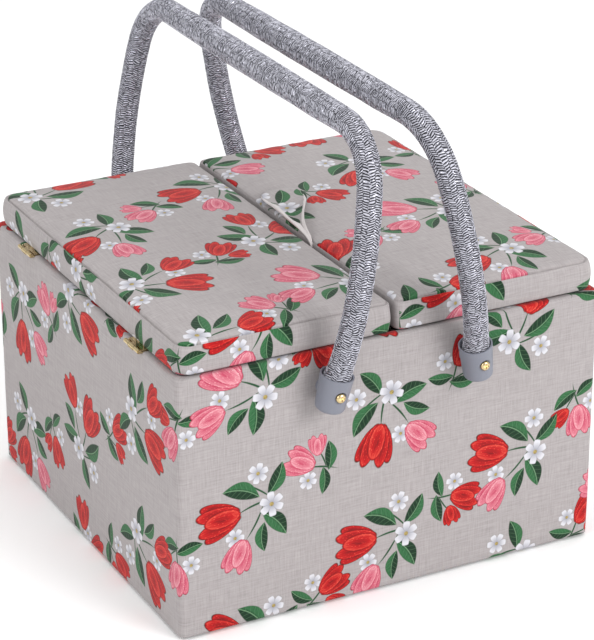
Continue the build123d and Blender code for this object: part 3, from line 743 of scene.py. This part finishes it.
def tulip_inks(tree, flower, pinkness):
    """Five petals of a flower whose half height is 1, folded about its middle line: two outer,
    two side and one front petal, each a stretched circle that pales towards a dark outline.
    Brush streaks follow the petals, with small flecks of paint on top."""
    x = add(tree, "SeparateXYZ", flower)
    fold = add(tree, "CombineXYZ", add(tree, "Math ABSOLUTE", x), x.node.outputs[1])
    petals = [((0.46, -0.08), -20, (0.30, 0.84), 0.16), ((0.26, -0.02), -8, (0.34, 0.96), 0.26),
              ((0.0, -0.18), 0, (0.36, 0.80), 0.38)]
    tone, outline_edge = None, None
    for middle, angle, size, shade in petals:
        scaled = add(tree, "Mapping", fold, (*middle, 0), (0, 0, radians(angle)), (*size, 1),
                     vector_type="TEXTURE")
        edge = add(tree, "VectorMath LENGTH", scaled, out=1)
        pale = add(tree, "MapRange", edge, 0.2, 0.86, shade, shade + 0.42)
        rim = add(tree, "MapRange", edge, 0.88, 0.97, 0, -0.5)
        pale = add(tree, "Math", pale, rim)
        if tone is None:
            tone, outline_edge = pale, edge
            continue
        tone = add(tree, "Mix", inked(tree, edge, 0.03), None, tone, pale)
        outline_edge = add(tree, "Math MINIMUM", outline_edge, edge)
    streak = add(tree, "TexNoise", add(tree, "Mapping", flower, None, None, (22, 1.8, 1)),
                 named={"Scale": 1.0, "Detail": 3.0, "Roughness": 0.6})
    tone = add(tree, "Math MULTIPLY_ADD", streak, 0.9, tone)
    fleck = add(tree, "TexVoronoi", add(tree, "Mapping", flower, None, None, (13, 7, 1)),
                named={"Scale": 1.0})
    fleck = add(tree, "MapRange", fleck, 0.12, 0.3, 0.35, 0)
    tone = add(tree, "Math SUBTRACT", add(tree, "Math", tone, fleck), 0.45)
    return outline_edge, add(tree, "MixRGB", pinkness, add(tree, "ValToRGB", tone, stops=RED_INKS),
                             add(tree, "ValToRGB", tone, stops=PINK_INKS))


def daisy_inks(tree, place, petals):
    """Petals of a flower of radius 1: its outline draws in between the petals, a grey line parts
    them, and a small yellow middle with darker dots lies on top."""
    x = add(tree, "SeparateXYZ", place)
    distance = add(tree, "VectorMath LENGTH", place, out=1)
    angle = add(tree, "Math ARCTAN2", x.node.outputs[1], x)
    turn = add(tree, "Math MULTIPLY", angle, petals / (2 * pi))
    gap = add(tree, "Math PINGPONG", turn, 0.5)
    reach = add(tree, "MapRange", gap, 0.0, 0.3, 0.62, 1.0, interpolation_type="SMOOTHSTEP")
    edge = add(tree, "Math DIVIDE", distance, reach)
    line = add(tree, "MapRange", gap, 0.02, 0.16, 0.8, 0)
    inner = add(tree, "MapRange", distance, 0.2, 0.8, 0.75, 0)
    grey = add(tree, "Math MAXIMUM", line, inner)
    petal = add(tree, "MixRGB", grey, linear("#cbcad0"), linear("#83848f"))
    dots = add(tree, "TexVoronoi", place, named={"Scale": 11.0})
    middle = add(tree, "ValToRGB", dots, stops=[(0.2, "#5f5130"), (0.6, "#a8955a")])
    in_middle = add(tree, "MapRange", distance, 0.15, 0.2, 1, 0)
    return edge, add(tree, "MixRGB", in_middle, petal, middle)


# %% One sprig
def scaled_places(tree, place, spots):
    """The place in each spot's own turned and scaled coordinates, with its distance first."""
    found = []
    for middle, angle, size in spots:
        own = add(tree, "Mapping", place, (*middle, 0), (0, 0, radians(angle)), (size, size, 1),
                  vector_type="TEXTURE")
        found.append((add(tree, "VectorMath LENGTH", own, out=1), own))
    return found


def choose(tree, found):
    """Of two or more turned places, the one nearest to its own middle, and which one it is."""
    distance, own = found[0]
    which = 0.0
    for number, (other_distance, other) in enumerate(found[1:], 1):
        closer = add(tree, "Math LESS_THAN", other_distance, distance)
        distance = add(tree, "Math MINIMUM", distance, other_distance)
        own = add(tree, "Mix", closer, None, None, None, own, other, out=1, data_type="VECTOR")
        which = add(tree, "Mix", closer, None, which, float(number))
    return own, which


def sprig(tree, flat, cells, stems, leaves, daisies, tulips, pink_from):
    """Lays stems, leaves, daisies and tulips over each other. cells is what tossed_cells takes,
    stems and leaves are what blade takes, and a flower has its middle, angle and radius. A tulip
    is pink where the cell's chance number passes its mark in pink_from. Gives the ink colour and
    how much ink there is."""
    place, chance = tossed_cells(tree, flat, *cells)
    stem = nearest(tree, [blade(tree, place, *shape) for shape in stems])
    leaf = nearest(tree, [blade(tree, place, *shape) for shape in leaves])
    daisy, _ = choose(tree, scaled_places(tree, place, daisies))
    daisy_edge, daisy_colour = daisy_inks(tree, daisy, 6)
    tulip, which = choose(tree, scaled_places(tree, place, tulips))
    mark = add(tree, "MapRange", which, 0, 1, *pink_from)
    luck = add(tree, "SeparateXYZ", chance)
    pinkness = add(tree, "Math GREATER_THAN", luck, mark)
    tulip_edge, tulip_colour = tulip_inks(tree, tulip, pinkness)
    colour, cover = linear(LEAF_MID), inked(tree, stem[0], 0.35)
    for edge, blur, inks in ((leaf[0], 0.05, leaf_inks(tree, *leaf[1:])),
                             (daisy_edge, 0.04, daisy_colour), (tulip_edge, 0.03, tulip_colour)):
        there = inked(tree, edge, blur)
        colour = add(tree, "MixRGB", there, colour, inks)
        cover = add(tree, "Math MAXIMUM", cover, there)
    return colour, cover


# %% Linen and print together
THREAD = 0.9                # mm; real threads are half as wide, but would be too fine to show
PRINT_SCALE = 0.86          # of the whole print; the cells and sprigs below are sized for 1


def crossings(tree, place, pitch):
    """Threads every pitch mm, over and under: a sine wave across times a sine wave along."""
    threads = add(tree, "VectorMath MULTIPLY", place, (2 * pi / pitch,) * 3)
    threads = add(tree, "SeparateXYZ", add(tree, "VectorMath SINE", threads))
    return add(tree, "Math MULTIPLY", threads, threads.node.outputs[1])


def linen(tree):
    """Uneven threads in both directions under the ink, with the ink a little paler where a thread
    stands up. The back of the cloth, which shows on the pull tab's hems, is paler: partly the
    cloth's own unprinted back, partly a painted highlight for the light that the rolled hems catch."""
    flat = add(tree, "UVMap", uv_map="cloth")
    slubs = [add(tree, "TexNoise", add(tree, "Mapping", flat, None, None, scale),
                 named={"Scale": 1.0, "Detail": 3.0, "Roughness": 0.65})
             for scale in ((1.2, 0.07, 1), (0.05, 1.0, 1))]
    slub = add(tree, "Math", *slubs)
    tone = add(tree, "MapRange", slub, 0.7, 1.3, 0, 1)
    ground = add(tree, "ValToRGB", tone,
                 stops=[(0, "#958f8f"), (0.5, "#9f9999"), (1, "#a7a1a1")])
    side = add(tree, "Math MULTIPLY", add(tree, "SeparateXYZ", flat), 1 / UNPRINTED)
    printed = add(tree, "Math LESS_THAN", side, 0.5)
    # Paler colour of the back: partly its own unprinted back, partly a painted highlight on the
    # pull tab's rolled hems.
    back = add(tree, "Math GREATER_THAN", side, 1.5)
    ground = add(tree, "MixRGB", back, ground, linear("#cdc7c6"))
    drawn = add(tree, "VectorMath SCALE", flat, None, None, 1 / PRINT_SCALE)
    small = sprig(tree, drawn, (112, 104, (0.5, 0.25), 7.0, 8),
                  [((1, -6), 8, 14, 0.7, 2.0), ((7, -6), -48, 9, 0.6, 1.5)],
                  [((11, -11), -70, 12, 5.0, 0.4), ((-9, -13), 108, 11, 4.6, -0.4)],
                  [((-11, 1), 0, 7.4)], [((2, 13), -6, 14.0), ((17, 3), -68, 9.0)], (0.45, 0.6))
    large = sprig(tree, drawn, (112, 104, (0.0, 0.0), 3.0, 8),
                  [((3, -10), -4, 17, 0.8, 2.5), ((-11, -6), 46, 15, 0.75, -2.0),
                   ((13, -15), -52, 15, 0.7, 2.0)],
                  [((19, -3), -34, 15.5, 7.0, 0.5), ((-18, -21), 116, 14.5, 6.6, -0.4),
                   ((14, -31), -132, 13.5, 6.0, 0.4), ((-25, -6), 74, 12, 5.2, 0.5)],
                  [((-3, -21), 20, 10.0), ((26, -18), 0, 8.4), ((-15, 13), 40, 7.6)],
                  [((5, 21), -8, 18.5), ((-31, 15), 54, 14.5)], (0.8, 0.42))
    colour = ground
    for inks, cover in (small, large):
        cover = add(tree, "Math MULTIPLY", cover, printed)
        colour = add(tree, "MixRGB", cover, colour, inks)
    worn = add(tree, "MapRange", slub, 0.7, 1.3, 0.95, 1.03)
    colour = add(tree, "VectorMath SCALE", colour, None, None, worn)
    height = add(tree, "Math MULTIPLY_ADD", crossings(tree, flat, THREAD), 0.25, slub)
    normal = add(tree, "Bump", named={"Height": height, "Strength": 0.5, "Distance": 0.15 * MM})
    return add(tree, "BsdfPrincipled", named={
        "Base Color": colour, "Roughness": 0.88, "Sheen Weight": 0.12, "Sheen Roughness": 0.5,
        "Specular IOR Level": 0.25, "Normal": normal})


printed_linen = material("printed linen", linen)


# %% [markdown]
# ## Plain cloths
# Lining, base and pincushion are single colours of a plain weave, so one function serves them
# all: threads over and under, with a soft change of tone from dye and wear.

# %% Plain weave
def plain_weave(light, dark, pitch, sheen, on_surface=True):
    """Shader of a plain cloth with threads every pitch mm. The colour goes between two tones with
    the crossings of the threads and a slow cloud."""
    def surface(tree):
        if on_surface:
            place = add(tree, "UVMap", uv_map="cloth")
        else:
            place = add(tree, "VectorMath SCALE", add(tree, "TexCoord", out=3), None, None, 1 / MM)
        cloud = add(tree, "TexNoise", place, named={"Scale": 0.12, "Detail": 5.0, "Roughness": 0.7})
        tone = add(tree, "Math MULTIPLY_ADD", crossings(tree, place, pitch), 0.22, cloud)
        colour = add(tree, "MixRGB", add(tree, "MapRange", tone, 0.2, 0.8), linear(dark),
                     linear(light))
        normal = add(tree, "Bump", named={"Height": tone, "Strength": 0.6, "Distance": 0.25 * MM})
        return add(tree, "BsdfPrincipled", named={
            "Base Color": colour, "Roughness": 0.9, "Sheen Weight": sheen, "Normal": normal,
            "Specular IOR Level": 0.2})
    return surface


lining_cotton = material("plain cotton lining", plain_weave("#b4b0b3", "#8d898d", 1.0, 0.1))
base_felt = material("needled base cloth", plain_weave("#8b898a", "#6b696b", 1.6, 0.2))
cushion_cotton = material("red cotton", plain_weave("#c9222a", "#8f1219", 1.0, 0.15, False))


# %% [markdown]
# ## Knitted rope cover
# The real cover is knitted from a grey yarn with a thin metallic film, so single stitches flash
# while the gaps between them stay dark. Here the dark of the gaps is painted shade in the colour,
# and the crests of the stitches are painted paler as a painted highlight. The pattern coordinates
# count stitches round and along the handle, so the same formula as the surface gives each arm of
# each V.

# %% Rope material
def knitted(tree):
    """Ridges as in the surface, with the streaks of the yarn along them, a chance brightness for
    each stitch, and the shiniest stitches almost mirror-like. The colour follows the ridges, so the
    gaps and the ends of the stitches carry painted shade and the crests carry a painted highlight."""
    count = add(tree, "UVMap", uv_map="cloth")
    stray = add(tree, "TexNoise", add(tree, "Mapping", count, None, None, (2.0, 1.1, 1)), out=1,
                named={"Scale": 1.0, "Detail": 1.0})
    stray = add(tree, "VectorMath SUBTRACT", stray, (0.5, 0.5, 0.5))
    count = add(tree, "VectorMath MULTIPLY_ADD", stray, (0.44, 0.5, 0), count)
    count = add(tree, "SeparateXYZ", count)
    part = add(tree, "Math FRACT", count)
    beside = add(tree, "Math ABSOLUTE", add(tree, "Math SUBTRACT", part, 0.5))
    climb = add(tree, "Math MULTIPLY_ADD", beside, -2 * V_DEPTH, count.node.outputs[1])
    later = add(tree, "Math GREATER_THAN", part, 0.5)
    climb = add(tree, "Math MULTIPLY_ADD", later, 0.5, climb)
    ridge = add(tree, "Math PINGPONG", climb, 0.5)
    ridge = add(tree, "MapRange", ridge, 0.04, 0.32, interpolation_type="SMOOTHSTEP")
    half = add(tree, "Math MULTIPLY", count, 2.0)
    # Lower towards the ends of each stitch: a lower bump, and painted shade in the colour.
    end = add(tree, "Math PINGPONG", half, 0.5)
    end = add(tree, "MapRange", end, 0.0, 0.16, 0.86, 1, interpolation_type="SMOOTHSTEP")
    height = add(tree, "Math MULTIPLY", ridge, end)
    stitch = add(tree, "CombineXYZ", add(tree, "Math FLOOR", half), add(tree, "Math FLOOR", climb))
    chance = add(tree, "TexWhiteNoise", stitch, noise_dimensions="2D")
    along_yarn = add(tree, "CombineXYZ", add(tree, "Math MULTIPLY", count, 4.0),
                     add(tree, "Math MULTIPLY", climb, 6.0))
    fibre = add(tree, "TexNoise", along_yarn, named={"Scale": 1.0, "Detail": 2.0, "Roughness": 0.7})
    tone = add(tree, "Math MULTIPLY_ADD", chance, 0.3, height)
    tone = add(tree, "Math MULTIPLY_ADD", fibre, 0.9, tone)
    # Near black where the ridges sink into the gaps, which is painted shade, up to pale on the
    # crests, which is a painted highlight.
    colour = add(tree, "ValToRGB", add(tree, "Math SUBTRACT", tone, 0.5),
                 stops=[(0.14, "#131317"), (0.46, "#42424c"), (0.82, "#6e6e79"), (1.0, "#c4c4cf")])
    glint = add(tree, "Math MULTIPLY_ADD", fibre, 0.8, chance)
    glint = add(tree, "Math MULTIPLY", glint, height)
    shine = add(tree, "MapRange", glint, 0.78, 1.12, 0.05, 0.95)
    rough = add(tree, "MapRange", glint, 0.78, 1.12, 0.6, 0.22)
    height = add(tree, "Math MULTIPLY_ADD", fibre, 0.35, height)
    normal = add(tree, "Bump", named={"Height": height, "Strength": 0.9, "Distance": 0.6 * MM})
    return add(tree, "BsdfPrincipled", named={
        "Base Color": colour, "Metallic": shine, "Roughness": rough, "Normal": normal})


knit_silver = material("knitted silver-grey yarn", knitted)


# %% [markdown]
# ## Hard parts
# End caps and tray are moulded plastic: even in colour, with the faint orange-peel of the mould.
# Screws and hinges are brass with fine turning marks, the rods and nuts zinc plated steel, and
# the boards raw fibreboard. All read object coordinates, because these parts have no cloth
# pattern.

# %% Plastic, metal and board
def moulded(light, dark, rough, grain):
    """Plastic: two close tones in a slow cloud, and a fine even bump of grain mm."""
    def surface(tree):
        place = add(tree, "TexCoord", out=3)
        cloud = add(tree, "TexNoise", place, named={"Scale": 0.03 / MM, "Detail": 4.0})
        colour = add(tree, "MixRGB", cloud, linear(dark), linear(light))
        peel = add(tree, "TexNoise", place, named={"Scale": 1 / (grain * MM), "Detail": 2.0})
        normal = add(tree, "Bump", named={"Height": peel, "Strength": 0.25, "Distance": 0.08 * MM})
        roughness = add(tree, "MapRange", cloud, 0.3, 0.7, rough - 0.05, rough + 0.05)
        return add(tree, "BsdfPrincipled", named={
            "Base Color": colour, "Roughness": roughness, "IOR": 1.5, "Normal": normal})
    return surface


def metal(light, dark, rough, stretch):
    """Metal with marks drawn out along one axis, which change its tone and roughness."""
    def surface(tree):
        place = add(tree, "Mapping", add(tree, "TexCoord", out=3), None, None, stretch)
        marks = add(tree, "TexNoise", place, named={"Scale": 1 / MM, "Detail": 4.0})
        colour = add(tree, "MixRGB", marks, linear(dark), linear(light))
        roughness = add(tree, "MapRange", marks, 0.3, 0.7, rough - 0.08, rough + 0.12)
        normal = add(tree, "Bump", named={"Height": marks, "Strength": 0.2, "Distance": 0.03 * MM})
        return add(tree, "BsdfPrincipled", named={
            "Base Color": colour, "Metallic": 1.0, "Roughness": roughness, "Normal": normal})
    return surface


def fibreboard(tree):
    """Pressed brown fibres: short streaks in a cloudy tone."""
    place = add(tree, "TexCoord", out=3)
    cloud = add(tree, "TexNoise", place, named={"Scale": 0.02 / MM, "Detail": 6.0})
    fibre = add(tree, "TexNoise", place, named={"Scale": 0.9 / MM, "Detail": 3.0})
    tone = add(tree, "Math MULTIPLY_ADD", fibre, 0.5, cloud)
    colour = add(tree, "ValToRGB", tone,
                 stops=[(0.4, "#7f6241"), (0.75, "#a3845f"), (1.0, "#bb9e77")])
    normal = add(tree, "Bump", named={"Height": fibre, "Strength": 0.4, "Distance": 0.2 * MM})
    return add(tree, "BsdfPrincipled", named={
        "Base Color": colour, "Roughness": 0.8, "Specular IOR Level": 0.3, "Normal": normal})


MATERIALS = {
    "printed_cloth": printed_linen, "lining_cloth": lining_cotton, "base_cloth": base_felt,
    "cushion_cloth": cushion_cotton, "rope_cover": knit_silver,
    "cap_plastic": material("satin grey plastic", moulded("#797c88", "#70727c", 0.4, 0.5)),
    "tray_plastic": material("white polypropylene", moulded("#eceae6", "#dedcd7", 0.38, 0.7)),
    "brass": material("turned brass", metal("#d9c79d", "#cbb382", 0.22, (1.2, 0.3, 1.2))),
    "steel": material("zinc plated steel", metal("#c9cacc", "#9b9da0", 0.38, (0.3, 1, 1))),
    "board": material("raw fibreboard", fibreboard),
    "wadding": lining_cotton,
}

# %% Every piece gets its finish
for part in frame["record"]["subparts"]:
    node = frame["nodes"][part["node"]]
    node.data.materials.clear()
    node.data.materials.append(MATERIALS[part["material_slot"]])
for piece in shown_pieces():
    if "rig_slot" in piece:
        piece.data.materials.clear()
        piece.data.materials.append(MATERIALS[piece["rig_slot"]])

# %% [markdown]
# ## Floor, light and camera
# The box was photographed on white with soft light from the front right, so its front is the
# brightest face and its top and left side are a little darker. A large area light does that,
# weaker ones from the left and from above open the shadows, and the pale floor and sky give the
# rest. The camera's place was worked out from where the box's corners lie in the photograph.

# %% Floor
FLOOR_SIZE, FLOOR_DROP = 12.0, 0.4 * MM    # the drop keeps it clear of the base cloth
bpy.ops.mesh.primitive_plane_add(size=FLOOR_SIZE, location=(0, 0, -FLOOR_DROP))
floor = bpy.context.object
floor.name = "pale_floor"


def matt_white(tree):
    """Even matt paint, a little under pure white."""
    return add(tree, "BsdfPrincipled", named={"Base Color": linear("#fcfcfc"), "Roughness": 0.9})


floor.data.materials.append(material("pale floor", matt_white))

# %% Light
def soft_light(name, place, aim, size, power):
    """Square area light at place, facing the point aim."""
    lamp = bpy.data.lights.new(name, "AREA")
    lamp.size, lamp.energy = size, power
    holder = bpy.data.objects.new(name, lamp)
    holder.location = place
    holder.rotation_mode = "QUATERNION"
    holder.rotation_quaternion = (Vector(aim) - Vector(place)).to_track_quat("-Z", "Y")
    bpy.context.scene.collection.objects.link(holder)


soft_light("key from the front right", (0.9, -2.0, 1.2), (0, 0, 0.12), 1.2, 36)
soft_light("fill from the left", (-2.2, -0.6, 1.3), (0, 0, 0.12), 1.6, 20)
soft_light("top", (0.0, 0.4, 2.6), (0, 0, 0.1), 1.8, 22)
world = bpy.data.worlds.new("white studio")
world.use_nodes = True
background = world.node_tree.nodes["Background"]
background.inputs["Color"].default_value = (1, 1, 1, 1)
background.inputs["Strength"].default_value = 0.68
bpy.context.scene.world = world
bpy.context.scene.view_settings.view_transform = "Standard"    # keeps the red of the print

# %% Camera
CAMERA_PLACE = (-0.7341, -1.4185, 0.8378)
CAMERA_DOWN, CAMERA_TURN = 23.88, -27.57
IMAGE_HEIGHT, FOCAL_PIXELS, SENSOR_MM = 640, 2611.0, 36.0
camera_data = bpy.data.cameras.new("photo angle")
camera_data.sensor_width = SENSOR_MM
camera_data.lens = SENSOR_MM * FOCAL_PIXELS / IMAGE_HEIGHT
camera = bpy.data.objects.new("photo angle", camera_data)
camera.location = CAMERA_PLACE
camera.rotation_euler = (radians(90 - CAMERA_DOWN), 0, radians(CAMERA_TURN))
bpy.context.scene.collection.objects.link(camera)
bpy.context.scene.camera = camera
